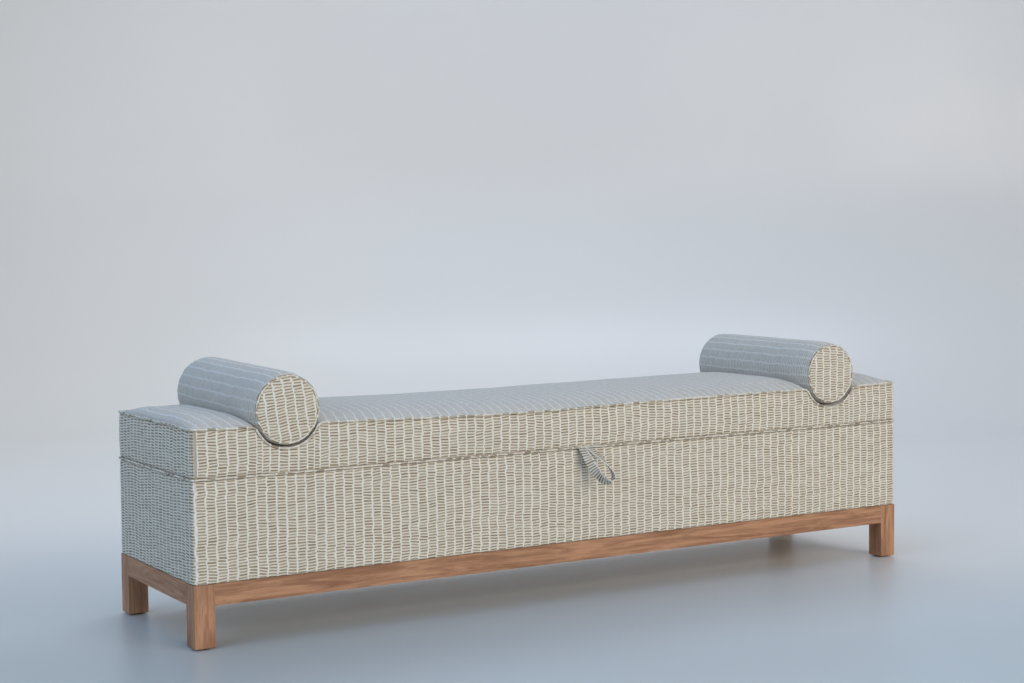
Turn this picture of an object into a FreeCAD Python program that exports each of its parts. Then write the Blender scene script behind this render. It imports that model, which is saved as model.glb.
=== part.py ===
import FreeCAD, Part
import Sketcher
import math
import os
import re
from FreeCAD import Placement, Rotation, Vector

# Storage bench with a padded lid, two loose bolsters and a timber base.
# X runs along the bench, the front faces -Y, Z is up, and the floor is Z = 0.
# The origin lies on the floor at the middle of the four legs.

SIZES = {
    # Whole bench
    "bench_length": 1900,
    "bench_depth": 450,
    # Timber base
    "base_height": 135,
    "base_stock": 45,
    "leg_ease": 1.5,
    "glide_height": 3,
    "glide_side": 25,
    "cross_rail_place": 316,
    "tenon_thick": 15,
    "tenon_shoulder": 8,
    "tenon_gap": 1,
    # Storage box
    "box_height": 213,
    "box_cover": 4,
    "box_panel": 18,
    "floor_board": 12,
    "lining": 1.2,
    "cloth": 1.5,
    "corner_radius": 8,
    "bumper_side": 14,
    "bumper_gap": 0.3,
    "bumper_inset": 120,
    # Lid
    "lid_gap": 2,
    "lid_board": 16,
    "lid_side": 96,
    "lid_crown": 25,
    "crown_run": 60,
    "cover": 2,
    "piping_radius": 2.5,
    "foam_gap": 0.4,
    # Scoops for the bolsters
    "scoop_shoulder": 15,
    "scoop_flare": 11,
    "foam_under_bolster": 35.5,
    # Bolsters
    "bolster_radius": 76,
    "bolster_inset": 212,
    "bolster_taper": 3,
    "bolster_dome": 4,
    "bolster_clearance": 0.6,
    # Hinges
    "hinge_length": 64,
    "hinge_leaf": 1.5,
    "hinge_bite": 20,
    "hinge_reach": 10,
    "hinge_inset": 350,
    "knuckle_radius": 3.5,
    "knuckle_gap": 0.4,
    "pin_radius": 2,
    "pin_clearance": 0.05,
    # Gas struts
    "lid_opening": 75,
    "strut_forward": 45,
    "strut_foot": 28,
    "strut_hang": 12,
    "strut_inset": 13,
    "tube_radius": 9,
    "tube_wall": 1.5,
    "rod_radius": 4,
    "rod_clearance": 0.05,
    "eye_radius": 8,
    "eye_width": 8,
    "stud_radius": 4,
    "bracket": 2,
    # Pull loop
    "loop_reach": 96,
    "loop_width": 26,
    "loop_root": 19,
    "loop_cloth": 1.6,
    "loop_spread": 6,
}

# Levels and half sizes that follow from the driving dimensions
LEVELS = {
    "half_x": "Sizes.bench_length / 2",
    "half_y": "Sizes.bench_depth / 2",
    "rail_bottom": "Sizes.base_height - Sizes.base_stock",
    "leg_x": "Level.half_x - Sizes.base_stock / 2",
    "leg_y": "Level.half_y - Sizes.base_stock / 2",
    "tenon_x": "Level.leg_x - Sizes.tenon_thick / 2 - Sizes.tenon_gap",
    "tenon_y": "Level.leg_y - Sizes.tenon_thick / 2 - Sizes.tenon_gap",
    "panel_x": "Level.half_x - Sizes.box_cover",
    "panel_y": "Level.half_y - Sizes.box_cover",
    "inner_x": "Level.panel_x - Sizes.box_panel",
    "inner_y": "Level.panel_y - Sizes.box_panel",
    "floor_top": "Sizes.base_height + Sizes.floor_board",
    "box_top": "Sizes.base_height + Sizes.box_height",
    "panel_top": "Level.box_top - Sizes.cloth",
    "lid_bottom": "Level.box_top + Sizes.lid_gap",
    "board_bottom": "Level.lid_bottom + Sizes.cloth",
    "board_top": "Level.board_bottom + Sizes.lid_board",
    "seam": "Level.lid_bottom + Sizes.lid_side",
    "hinge_y": "Level.half_y + Sizes.hinge_reach",
    "hinge_z": "Level.box_top + Sizes.lid_gap / 2",
    "hinge_x": "Level.half_x - Sizes.hinge_inset",
    "bolster_x": "Level.half_x - Sizes.bolster_inset",
    "bolster_z": "Level.board_top + Sizes.foam_under_bolster + Sizes.bolster_radius",
    "strut_x": "Level.inner_x - Sizes.lining - Sizes.strut_inset",
}

doc = FreeCAD.newDocument("storage_bench")
sheet = doc.addObject("Spreadsheet::Sheet", "Sizes")
for row, (alias, value) in enumerate(SIZES.items(), start=1):
    sheet.set(f"A{row}", str(value))
    sheet.setAlias(f"A{row}", alias)
doc.recompute()

level_set = doc.addObject("App::VarSet", "Level")
for word in LEVELS:
    level_set.addProperty("App::PropertyFloat", word)
for word, expression in LEVELS.items():
    level_set.setExpression(word, expression)
doc.recompute()


class Numbers:
    """Sizes and levels read as plain numbers, for the shapes that Part's functions make."""

    def __getattr__(self, word):
        return float(getattr(level_set, word)) if word in LEVELS else float(sheet.get(word))


S = Numbers()
PIECES = []


def bound(text):
    """A size expression in which each word points at its cell or level."""
    def point(match):
        word = match.group(0)
        if word in SIZES:
            return f"Sizes.{word}"
        return f"Level.{word}" if word in LEVELS else word
    return re.sub(r"[a-z_]+", point, str(text))


def piece(thing, label):
    """Marks a document object as a finished piece of the bench."""
    thing.Label = label
    PIECES.append(thing)
    return thing


def box(name, low, high):
    """Part::Box between two corners given as expressions."""
    block = doc.addObject("Part::Box", name)
    for side, axis, start, end in zip(("Length", "Width", "Height"), "xyz", low, high):
        block.setExpression(side, bound(f"({end}) - ({start})"))
        block.setExpression(f"Placement.Base.{axis}", bound(start))
    return block


def cut(name, base, *tools):
    """The base with each tool's solids taken out of it."""
    for count, tool in enumerate(tools):
        result = doc.addObject("Part::Cut", f"{name}_less_{tool.Name}")
        result.Base = base
        result.Tool = tool
        base = result
    return base


def group(label, members):
    """One node that holds several separate solids."""
    compound = doc.addObject("Part::Compound", label)
    compound.Links = members
    return piece(compound, label)


def feature(label, shape, place=None):
    """A piece whose shape comes from Part's own functions."""
    thing = doc.addObject("Part::Feature", label)
    thing.Shape = shape
    if place is not None:
        thing.Placement = place
    return piece(thing, label)


def new_body(name):
    return doc.addObject("PartDesign::Body", name)


def sketch_on(body, role, lift):
    """Empty sketch on one of the body's own origin planes, lifted along its normal."""
    plane = next(item for item in body.Origin.OriginFeatures if item.Role == role)
    sketch = body.newObject("Sketcher::SketchObject", f"{body.Name}_sketch")
    sketch.AttachmentSupport = (plane, [""])
    sketch.MapMode = "FlatFace"
    sketch.setExpression("AttachmentOffset.Base.z", bound(lift))
    return sketch


def pin_point(sketch, line, point, x_text, y_text):
    """Fixes one sketch point at coordinates given as expressions."""
    for kind, text in (("DistanceX", x_text), ("DistanceY", y_text)):
        index = sketch.addConstraint(Sketcher.Constraint(kind, line, point, 1.0 + line))
        sketch.setExpression(f"Constraints[{index}]", bound(text))


def outline(body, role, points, lift="0"):
    """Closed sketch outline through points given as pairs of expressions."""
    sketch = sketch_on(body, role, lift)
    count = len(points)
    for index in range(count):
        start = Vector(index, index * index, 0)
        end = Vector(index + 1, (index + 1) ** 2, 0)
        sketch.addGeometry(Part.LineSegment(start, end))
    for index in range(count):
        sketch.addConstraint(Sketcher.Constraint("Coincident", index, 2, (index + 1) % count, 1))
    for index, (x_text, y_text) in enumerate(points):
        pin_point(sketch, index, 1, x_text, y_text)
    return sketch


def rectangle(body, x_text, y_text, lift="0"):
    """Rectangle centred on the origin, given as half sizes."""
    signs = ((-1, -1), (1, -1), (1, 1), (-1, 1))
    corners = [(f"{a} * ({x_text})", f"{b} * ({y_text})") for a, b in signs]
    return outline(body, "XY_Plane", corners, lift)


def pad(body, sketch, length):
    made = body.newObject("PartDesign::Pad", f"{body.Name}_pad")
    made.Profile = sketch
    made.setExpression("Length", bound(length))
    doc.recompute()
    return made


def pocket(body, sketch, depth):
    """Cuts upwards from the sketch, along its normal, and checks that it removed something."""
    before = body.Shape.Volume
    made = body.newObject("PartDesign::Pocket", f"{body.Name}_pocket")
    made.Profile = sketch
    made.Reversed = True
    made.setExpression("Length", bound(depth))
    doc.recompute()
    if body.Shape.Volume > before - 1:
        raise ValueError(f"{body.Name}: a pocket cut nothing")
    return made


def dress(body, kind, base, names, size):
    """Fillet or chamfer on named edges of the last feature."""
    made = body.newObject(f"PartDesign::{kind}", f"{body.Name}_{kind.lower()}")
    made.Base = (base, names)
    made.setExpression("Radius" if kind == "Fillet" else "Size", bound(size))
    doc.recompute()
    return made


def upright_edges(shape):
    """Names of the edges that run straight up."""
    names = []
    for index, edge in enumerate(shape.Edges, start=1):
        ends = [vertex.Point for vertex in edge.Vertexes]
        if len(ends) == 2 and (ends[0] - ends[1]).cross(Vector(0, 0, 1)).Length < 1e-6:
            names.append(f"Edge{index}")
    return names


def edges_at_level(shape, height):
    """Names of the edges that lie at one height."""
    names = []
    for index, edge in enumerate(shape.Edges, start=1):
        if abs(edge.BoundBox.ZMin - height) < 1e-6 and abs(edge.BoundBox.ZMax - height) < 1e-6:
            names.append(f"Edge{index}")
    return names


SIDES = {"left": -1, "right": 1}
ENDS = {"front": -1, "rear": 1}


# Timber base

def span(low, high, flip):
    """Two ends of an interval in growing order, mirrored where flip is negative."""
    return (f"-1 * ({high})", f"-1 * ({low})") if flip < 0 else (low, high)


def tenon_bar(name, way, place):
    """Bar whose two ends are the tenons of a rail that runs along X or Y at the given place."""
    low = "rail_bottom + tenon_shoulder"
    high = "base_height - tenon_shoulder"
    near = f"{place} - tenon_thick / 2"
    far = f"{place} + tenon_thick / 2"
    if way == "X":
        return box(name, ("-1 * tenon_x", near, low), ("tenon_x", far, high))
    return box(name, (near, "-1 * tenon_y", low), (far, "tenon_y", high))


def rail(label, low, high, bar, mortises=()):
    """Square rail with its tenons, and the mortises of the rails that meet it."""
    name = label.replace("base", "blank")
    stick = doc.addObject("Part::Fuse", f"{name}_tenoned")
    stick.Base = box(name, low, high)
    stick.Tool = bar
    stick.Refine = True
    piece(cut(name, stick, *mortises), label)


def leg(end_name, side_name, bars):
    """Square leg with eased edges at its foot, as tall as the base, with a mortise for each rail."""
    side = SIDES[side_name]
    end = ENDS[end_name]
    body = new_body(f"leg_blank_{end_name}_{side_name}")
    near = (f"{side} * half_x", f"{end} * half_y")
    far = (f"{side} * (half_x - base_stock)", f"{end} * (half_y - base_stock)")
    corners = [near, (far[0], near[1]), far, (near[0], far[1])]
    stem = pad(body, outline(body, "XY_Plane", corners, "glide_height"), "base_height - glide_height")
    dress(body, "Chamfer", stem, edges_at_level(stem.Shape, S.glide_height), "leg_ease")
    piece(cut(body.Name, body, *bars), f"leg_{end_name}_{side_name}")


def base_frame():
    long_bars = {name: tenon_bar(f"tenons_{name}", "X", f"{end} * leg_y") for name, end in ENDS.items()}
    end_bars = {name: tenon_bar(f"tenons_{name}", "Y", f"{side} * leg_x") for name, side in SIDES.items()}
    cross_bars = {name: tenon_bar(f"tenons_cross_{name}", "Y", f"{side} * cross_rail_place")
                  for name, side in SIDES.items()}
    for end_name, end in ENDS.items():
        low_y, high_y = span("half_y - base_stock", "half_y", end)
        rail(f"base_rail_{end_name}", ("base_stock - half_x", low_y, "rail_bottom"),
             ("half_x - base_stock", high_y, "base_height"), long_bars[end_name], cross_bars.values())
        for side_name in SIDES:
            leg(end_name, side_name, (long_bars[end_name], end_bars[side_name]))
    for side_name, side in SIDES.items():
        low_x, high_x = span("half_x - base_stock", "half_x", side)
        rail(f"base_rail_{side_name}", (low_x, "base_stock - half_y", "rail_bottom"),
             (high_x, "half_y - base_stock", "base_height"), end_bars[side_name])
        centre = f"{side} * cross_rail_place"
        rail(f"base_cross_rail_{side_name}",
             (f"{centre} - base_stock / 2", "base_stock - half_y", "rail_bottom"),
             (f"{centre} + base_stock / 2", "half_y - base_stock", "base_height"), cross_bars[side_name])


def square_pads(label, places, side, low, high):
    """Square pads of one size, centred on the given places."""
    pads = [box("pad", (f"{x} - {side} / 2", f"{y} - {side} / 2", low),
                (f"{x} + {side} / 2", f"{y} + {side} / 2", high)) for x, y in places]
    group(label, pads)


def four_corners(x, y):
    return [(f"{side} * ({x})", f"{end} * ({y})") for side in SIDES.values() for end in ENDS.values()]


base_frame()
square_pads("leg_glides", four_corners("leg_x", "leg_y"), "glide_side", "0", "glide_height")


# Hinges: the leaves lie flush with the box's top edge and the lid's underside

def hinge_leaf(low, high, owns, others):
    """One leaf with its knuckles; owns and others number the three knuckle places along the barrel."""
    half = S.hinge_length / 2
    axis = Vector(0, S.hinge_y, S.hinge_z)
    step = S.hinge_length / 3

    def barrel(order):
        start = axis + Vector(-half + order * step + S.knuckle_gap / 2, 0, 0)
        return Part.makeCylinder(S.knuckle_radius, step - S.knuckle_gap, start, Vector(1, 0, 0))

    def notch(order):
        room = S.knuckle_radius + S.knuckle_gap
        corner = axis + Vector(-half + order * step - S.knuckle_gap / 2, -room, -room)
        return Part.makeBox(step + S.knuckle_gap, room, 2 * room, corner)

    depth = S.hinge_y - S.pin_radius - 0.5 - (S.half_y - S.hinge_bite)
    corner = Vector(S.knuckle_gap / 2 - half, S.half_y - S.hinge_bite, low)
    leaf = Part.makeBox(S.hinge_length - S.knuckle_gap, depth, high - low, corner)
    for order in others:
        leaf = leaf.cut(notch(order))
    for order in owns:
        leaf = leaf.fuse(barrel(order))
    return leaf


def three_hinges(label, leaf):
    leaves = [leaf.translated(Vector(x, 0, 0)) for x in (-S.hinge_x, 0, S.hinge_x)]
    return feature(label, Part.makeCompound(leaves))


def pin(radius):
    """Pin, or the bore for it, through one hinge's knuckles."""
    reach = S.hinge_length - S.knuckle_gap
    return Part.makeCylinder(radius, reach, Vector(-reach / 2, S.hinge_y, S.hinge_z), Vector(1, 0, 0))


box_leaf = hinge_leaf(S.box_top - S.hinge_leaf, S.box_top, (0, 2), (1,)).fuse(pin(S.pin_radius))
lid_leaf = hinge_leaf(S.lid_bottom, S.lid_bottom + S.hinge_leaf, (1,), (0, 2))
hinge_box_leaves = three_hinges("hinge_box_leaves", box_leaf.removeSplitter())
hinge_lid_leaves = three_hinges("hinge_lid_leaves", lid_leaf.cut(pin(S.pin_radius + S.pin_clearance)))


class StrutGeometry:
    """Pivot places of a strut with the lid shut, and its shut and open lengths."""

    def __init__(self):
        self.axis = Vector(0, S.hinge_y, S.hinge_z)
        self.box_pivot = Vector(0, S.hinge_y - S.strut_forward, S.floor_top + S.strut_foot)
        self.arm = (self.box_pivot - self.axis).Length
        drop = S.strut_hang + S.lid_gap / 2 - 1
        forward = math.sqrt(self.arm ** 2 - drop ** 2)
        self.lid_pivot = self.axis + Vector(0, -forward, -drop)
        self.line = self.lid_pivot - self.box_pivot
        self.shut = self.line.Length
        spread = 2 * math.asin(self.shut / (2 * self.arm))
        self.open = 2 * self.arm * math.sin((spread + math.radians(S.lid_opening)) / 2)


strut = StrutGeometry()


def eye(way):
    """Flat eye end about the X axis with a running bore for the stud; it reaches along Z in the given way."""
    width = S.eye_width
    round_end = Part.makeCylinder(S.eye_radius, width, Vector(-width / 2, 0, 0), Vector(1, 0, 0))
    reach = S.eye_radius + 2
    tang = Part.makeBox(width, 2 * S.eye_radius, reach,
                        Vector(-width / 2, -S.eye_radius, min(0, way * reach)))
    bore = Part.makeCylinder(S.stud_radius + S.rod_clearance, width, Vector(-width / 2, 0, 0),
                             Vector(1, 0, 0))
    return round_end.fuse(tang).cut(bore).removeSplitter()


def strut_cylinder():
    """Tube with an eye at its foot, along +Z from the box pivot, bored for the rod."""
    start = S.eye_radius + 1
    end = strut.shut - 2 * S.eye_radius
    tube = Part.makeCylinder(S.tube_radius, end - start, Vector(0, 0, start))
    bore = Part.makeCylinder(S.rod_radius + S.rod_clearance, end, Vector(0, 0, start + S.tube_wall))
    return tube.cut(bore).fuse(eye(1))


def strut_rod():
    """Rod with an eye at the lid pivot, along -Z from the lid pivot."""
    foot = strut.shut - S.eye_radius - 2 * S.tube_wall - S.rod_radius
    start = S.eye_radius + 1
    rod = Part.makeCylinder(S.rod_radius, foot - start, Vector(0, 0, -start), Vector(0, 0, -1))
    return rod.fuse(eye(-1))


def bracket_on_box(side):
    """Plate on the end panel with a stud at the box pivot."""
    wall = S.inner_x - S.lining
    half = 1.25 * S.eye_radius
    corner = Vector(wall - S.bracket, strut.box_pivot.y - half, strut.box_pivot.z - half)
    plate = Part.makeBox(S.bracket, 2 * half, 5 * S.eye_radius, corner)
    foot = Vector(wall - S.bracket, strut.box_pivot.y, strut.box_pivot.z)
    stud = Part.makeCylinder(S.stud_radius, wall - S.bracket - S.strut_x + S.eye_width / 2 + 1, foot,
                             Vector(-1, 0, 0))
    shape = plate.fuse(stud)
    return shape if side > 0 else shape.mirror(Vector(), Vector(1, 0, 0))


def bracket_on_lid(side):
    """Angle plate under the lid with a hanging ear and a stud at the lid pivot."""
    y = strut.lid_pivot.y
    half = 2 * S.eye_radius
    ear_x = S.strut_x + S.eye_width / 2 + 1
    wide = 2.5 * S.eye_radius
    top = Part.makeBox(wide, 2 * half, S.bracket,
                       Vector(ear_x + S.bracket - wide, y - half, S.lid_bottom - S.bracket))
    ear = Part.makeBox(S.bracket, 2 * S.eye_radius, S.lid_bottom - strut.lid_pivot.z + S.eye_radius,
                       Vector(ear_x, y - S.eye_radius, strut.lid_pivot.z - S.eye_radius))
    stud = Part.makeCylinder(S.stud_radius, S.eye_width + 2, Vector(ear_x, y, strut.lid_pivot.z),
                             Vector(-1, 0, 0))
    shape = top.fuse(ear).fuse(stud).removeSplitter()
    return shape if side > 0 else shape.mirror(Vector(), Vector(1, 0, 0))


feature("strut_box_brackets", Part.makeCompound([bracket_on_box(side) for side in SIDES.values()]))
feature("strut_lid_brackets", Part.makeCompound([bracket_on_lid(side) for side in SIDES.values()]))
for strut_side, strut_sign in SIDES.items():
    lean = Rotation(Vector(0, 0, 1), strut.line)
    side_shift = Vector(strut_sign * S.strut_x, 0, 0)
    feature(f"strut_cylinder_{strut_side}", strut_cylinder(), Placement(strut.box_pivot + side_shift, lean))
    feature(f"strut_rod_{strut_side}", strut_rod(), Placement(strut.lid_pivot + side_shift, lean))


# Storage box

def rounded_block(name, height_low, height_high):
    """Block of the box's full plan size with rounded upright corners."""
    body = new_body(name)
    block = pad(body, rectangle(body, "half_x", "half_y", height_low), f"{height_high} - ({height_low})")
    dress(body, "Fillet", block, upright_edges(block.Shape), "corner_radius")
    return body


def storage_box():
    box("box_floor", ("-1 * inner_x", "-1 * inner_y", "base_height"), ("inner_x", "inner_y", "floor_top"))
    piece(doc.getObject("box_floor"), "box_floor")
    for end_name, end in ENDS.items():
        low_y, high_y = span("inner_y", "panel_y", end)
        board = box(f"panel_blank_{end_name}", ("-1 * panel_x", low_y, "base_height"),
                    ("panel_x", high_y, "panel_top"))
        tools = (hinge_box_leaves,) if end > 0 else ()
        piece(cut(end_name, board, *tools), f"box_panel_{end_name}")
    for side_name, side in SIDES.items():
        low_x, high_x = span("inner_x", "panel_x", side)
        board = box(f"panel_blank_{side_name}", (low_x, "-1 * inner_y", "base_height"),
                    (high_x, "inner_y", "panel_top"))
        piece(board, f"box_panel_{side_name}")

    outer = box("lining_outer", ("-1 * inner_x", "-1 * inner_y", "floor_top"),
                ("inner_x", "inner_y", "panel_top"))
    hollow = box("lining_hollow", ("lining - inner_x", "lining - inner_y", "floor_top + lining"),
                 ("inner_x - lining", "inner_y - lining", "box_top"))
    piece(cut("lining", outer, hollow), "box_lining")

    cover = rounded_block("cover_block", "base_height", "box_top")
    pocket(cover, rectangle(cover, "panel_x", "panel_y", "base_height"), "panel_top - base_height")
    pocket(cover, rectangle(cover, "inner_x", "inner_y", "panel_top - 1"), "cloth + 2")
    piece(cut("cover", cover, hinge_box_leaves), "box_cover")

    square_pads("lid_bumpers", four_corners("half_x - bumper_inset", "panel_y - box_panel / 2"),
                "bumper_side", "box_top", "lid_bottom - bumper_gap")


storage_box()


# Lid: the crown and the scoops are lofted front to back through outlines made of lines and arcs

def arc_between(start, end, centre, radius, way):
    """Arc about a centre, through the point that lies from the centre in the given way."""
    middle = centre + way.normalize() * radius
    return Part.Arc(start, middle, end).toShape()


def scoop_edges(side, y, top, scoop, shoulder):
    """Shoulder arc, scoop arc and shoulder arc of one recess in the order of growing X, and its rims."""
    centre = Vector(side * S.bolster_x, y, S.bolster_z)
    drop = top - shoulder - S.bolster_z
    spread = math.sqrt((scoop + shoulder) ** 2 - drop ** 2)
    hubs = [centre + Vector(way * spread, 0, drop) for way in (-1, 1)]
    rims = [hub + Vector(0, 0, shoulder) for hub in hubs]
    joins = [centre + (hub - centre) * (scoop / (scoop + shoulder)) for hub in hubs]
    ways = [(rim - hub).normalize() + (join - hub).normalize() for rim, hub, join in zip(rims, hubs, joins)]
    edges = [arc_between(rims[0], joins[0], hubs[0], shoulder, ways[0]),
             arc_between(joins[0], joins[1], centre, scoop, Vector(0, 0, -1)),
             arc_between(joins[1], rims[1], hubs[1], shoulder, ways[1])]
    return edges, rims


def end_fall(y, x_end, z_end, top, way):
    """Crown's fall to the seam at one end of the lid, from left to right: a steep part and a gentle one."""
    seam_point = Vector(x_end, y, z_end)
    bend = Vector(x_end - way * 0.3 * S.crown_run, y, z_end + 0.6 * (top - z_end))
    inner = Vector(x_end - way * S.crown_run, y, top)
    points = [seam_point, bend, inner] if way < 0 else [inner, bend, seam_point]
    return [Part.makeLine(first, second) for first, second in zip(points, points[1:])]


def top_line(y, share, depth):
    """Edges of the lid's top at one Y, from left to right; share is 0 at mid depth and 1 at the seam."""
    edge_level = S.seam + S.cover - depth
    crown = S.lid_crown * (1 - share ** 4) + 0.5
    top = edge_level + crown
    scoop_edge = S.bolster_radius + S.scoop_flare - S.cover
    scoop_mid = S.bolster_radius + S.bolster_clearance
    scoop = scoop_mid + (scoop_edge - scoop_mid) * share ** 12 + depth
    shoulder = S.scoop_shoulder * (2 - share ** 4) - depth
    x_end = S.half_x - S.piping_radius - 0.1
    left_edges, left_rims = scoop_edges(-1, y, top, scoop, shoulder)
    right_edges, right_rims = scoop_edges(1, y, top, scoop, shoulder)
    start = Vector(-x_end, y, edge_level)
    end = Vector(x_end, y, edge_level)
    edges = end_fall(y, -x_end, edge_level, top, -1)
    edges.append(Part.makeLine(Vector(S.crown_run - x_end, y, top), left_rims[0]))
    edges += left_edges
    edges.append(Part.makeLine(left_rims[1], right_rims[0]))
    edges += right_edges
    edges.append(Part.makeLine(right_rims[1], Vector(x_end - S.crown_run, y, top)))
    edges += end_fall(y, x_end, edge_level, top, 1)
    return edges, start, end


SHARES = (-1, -0.88, -0.5, 0.5, 0.88, 1)


def lofted(section):
    """Loft through the sections at each share of the lid's half depth."""
    reach = S.half_y - S.piping_radius - 0.1
    wires = [Part.Wire(section(share * reach, abs(share))) for share in SHARES]
    return Part.makeLoft(wires, True, True)


def foam_section(y, share):
    edges, start, end = top_line(y, share, S.cover + S.foam_gap)
    low_start = Vector(start.x, y, S.board_top)
    low_end = Vector(end.x, y, S.board_top)
    return edges + [Part.makeLine(end, low_end), Part.makeLine(low_end, low_start),
                    Part.makeLine(low_start, start)]


def cover_section(y, share):
    outer, outer_start, outer_end = top_line(y, share, 0)
    inner, inner_start, inner_end = top_line(y, share, S.cover)
    return outer + [Part.makeLine(outer_end, inner_end)] + inner[::-1] + \
        [Part.makeLine(inner_start, outer_start)]


def slab(x, y, radius, low, high):
    """Plate with rounded upright corners, given as half sizes."""
    plate = Part.makeBox(2 * x, 2 * y, high - low, Vector(-x, -y, low))
    return plate.makeFillet(radius, [plate.Edges[int(name[4:]) - 1] for name in upright_edges(plate)])


def long_seam(end):
    """Edges of the top seam along the front or the rear, from left to right."""
    y = end * S.half_y
    scoop = S.bolster_radius + S.scoop_flare
    left_edges, left_rims = scoop_edges(-1, y, S.seam, scoop, S.scoop_shoulder)
    right_edges, right_rims = scoop_edges(1, y, S.seam, scoop, S.scoop_shoulder)
    start = Vector(S.corner_radius - S.half_x, y, S.seam)
    end_point = Vector(S.half_x - S.corner_radius, y, S.seam)
    middle = Part.makeLine(left_rims[1], right_rims[0])
    return [Part.makeLine(start, left_rims[0])] + left_edges + [middle] + right_edges + \
        [Part.makeLine(right_rims[1], end_point)]


def end_seam(side, reach, turn, z):
    """Edges along one end of the lid with its two corners, standing out from the lid by reach."""
    x = side * (S.half_x + reach)
    y = S.half_y + reach - turn
    hubs = [Vector(x - side * turn, end * y, z) for end in (-1, 1)]
    edges = [arc_between(hub + Vector(0, end * turn, 0), hub + Vector(side * turn, 0, 0), hub, turn,
                         Vector(side, end, 0)) for end, hub in zip((-1, 1), hubs)]
    return [edges[0], Part.makeLine(Vector(x, -y, z), Vector(x, y, z)), edges[1]]


def cord_run(edges, radius, normal):
    """Cord of piping with a four-sided section along a run that lies in one plane."""
    path = Part.Wire(Part.sortEdges(edges)[0])
    first = path.Edges[0]
    start = first.valueAt(first.FirstParameter)
    way = first.tangentAt(first.FirstParameter)
    side = way.cross(normal).normalize()
    corners = []
    for order in range(4):
        angle = math.radians(90 * order)
        corners.append(start + normal * (radius * math.sin(angle)) + side * (radius * math.cos(angle)))
    shell = Part.BRepOffsetAPI.MakePipeShell(path)
    shell.setBiNormalMode(normal)
    shell.add(Part.makePolygon(corners + corners[:1]))
    shell.build()
    shell.makeSolid()
    return shell.shape()


def piping(label, long_runs, end_runs):
    """Piping round the lid: the front and rear runs and the two ends with their corners."""
    runs = [cord_run(edges, S.piping_radius, Vector(0, 1, 0)) for edges in long_runs]
    runs += [cord_run(edges, S.piping_radius, Vector(0, 0, 1)) for edges in end_runs]
    return feature(label, Part.makeCompound(runs))


def boxing():
    """Side strips of the lid's cover, up to the piping."""
    room = S.piping_radius + 0.1
    low = S.board_bottom
    high = S.seam - room
    x = S.half_x - S.corner_radius
    for end_name, end in ENDS.items():
        y = end * S.half_y
        scoop = S.bolster_radius + S.scoop_flare + room
        shoulder = S.scoop_shoulder - room
        left_edges, left_rims = scoop_edges(-1, y, high, scoop, shoulder)
        right_edges, right_rims = scoop_edges(1, y, high, scoop, shoulder)
        edges = [Part.makeLine(Vector(-x, y, high), left_rims[0])] + left_edges
        edges += [Part.makeLine(left_rims[1], right_rims[0])] + right_edges
        edges += [Part.makeLine(right_rims[1], Vector(x, y, high)),
                  Part.makeLine(Vector(x, y, high), Vector(x, y, low)),
                  Part.makeLine(Vector(x, y, low), Vector(-x, y, low)),
                  Part.makeLine(Vector(-x, y, low), Vector(-x, y, high))]
        strip = Part.Face(Part.Wire(edges)).extrude(Vector(0, -end * S.cover, 0))
        feature(f"lid_boxing_{end_name}", strip)
    outer = slab(S.half_x, S.half_y, S.corner_radius, low, high)
    inner = slab(S.half_x - S.cover, S.half_y - S.cover, S.corner_radius - S.cover, low, high)
    ring = outer.cut(inner)
    for side_name, side in SIDES.items():
        start = Vector(x if side > 0 else -S.half_x, -S.half_y, low)
        strip = ring.common(Part.makeBox(S.corner_radius, 2 * S.half_y, high - low, start))
        feature(f"lid_boxing_{side_name}", strip)


def faceted(rows):
    """Solid of flat faces through rows of four corners."""
    faces = [rows[0], rows[-1]]
    for near, far in zip(rows, rows[1:]):
        for order in range(4):
            after = (order + 1) % 4
            faces += [(near[order], near[after], far[after]), (near[order], far[after], far[order])]
    sheets = [Part.Face(Part.makePolygon(list(corners) + [corners[0]])) for corners in faces]
    solid = Part.makeSolid(Part.makeShell(sheets))
    return solid.reversed() if solid.Volume < 0 else solid


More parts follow.
